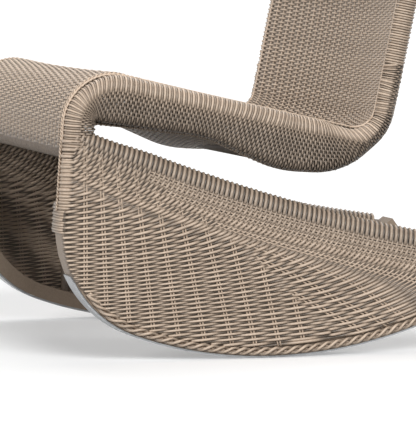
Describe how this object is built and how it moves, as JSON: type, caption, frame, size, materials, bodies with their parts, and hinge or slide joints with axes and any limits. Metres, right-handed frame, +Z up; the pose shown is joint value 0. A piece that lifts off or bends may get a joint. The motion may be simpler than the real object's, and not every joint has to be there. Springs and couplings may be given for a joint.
{
  "type": "outdoor rocking chair",
  "caption": "Armless woven rocking chair: a dished seat and back run over a front crest into two woven side fins that stand on curved rocker bars with metal glides.",
  "frame": {"origin": "centre of the bounding box on the floor, under the rockers' lowest surface", "axes": "+Z up, the chair faces -Y, +X is the sitter's left"},
  "size_m": [0.662, 0.7258, 0.8493],
  "materials": {
    "woven_strand": "matte",
    "frame_tube": "satin",
    "painted_bar": "satin",
    "glide_metal": "satin"
  },
  "bodies": {
    "root": {"crest_tube": "frame_tube", "front_weave": "woven_strand", "left_back_wrap": "woven_strand", "left_border_braid": "woven_strand", "left_fin_rail": "frame_tube", "left_fin_weave": "woven_strand", "left_front_plate": "painted_bar", "left_front_strut": "frame_tube", "left_front_upright": "frame_tube", "left_glide": "glide_metal", "left_lower_rail": "frame_tube", "left_rear_cap": "painted_bar", "left_rear_strut": "frame_tube", "left_rear_upright": "frame_tube", "left_rocker_bar": "painted_bar", "left_seat_wrap": "woven_strand", "left_upper_rail": "frame_tube", "lip_back_weave": "woven_strand", "lip_tube": "frame_tube", "lip_wrap": "woven_strand", "lumbar_tube": "frame_tube", "lumbar_wrap": "woven_strand", "rear_stretcher": "painted_bar", "rear_weave": "woven_strand", "right_back_wrap": "woven_strand", "right_border_braid": "woven_strand", "right_fin_rail": "frame_tube", "right_fin_weave": "woven_strand", "right_front_plate": "painted_bar", "right_front_strut": "frame_tube", "right_front_upright": "frame_tube", "right_glide": "glide_metal", "right_lower_rail": "frame_tube", "right_rear_cap": "painted_bar", "right_rear_strut": "frame_tube", "right_rear_upright": "frame_tube", "right_rocker_bar": "painted_bar", "right_seat_wrap": "woven_strand", "right_upper_rail": "frame_tube", "seat_front_tube": "frame_tube", "seat_rear_tube": "frame_tube", "top_bow": "frame_tube", "top_wrap": "woven_strand", "upper_back_tube": "frame_tube"}
  },
  "joints": []
}
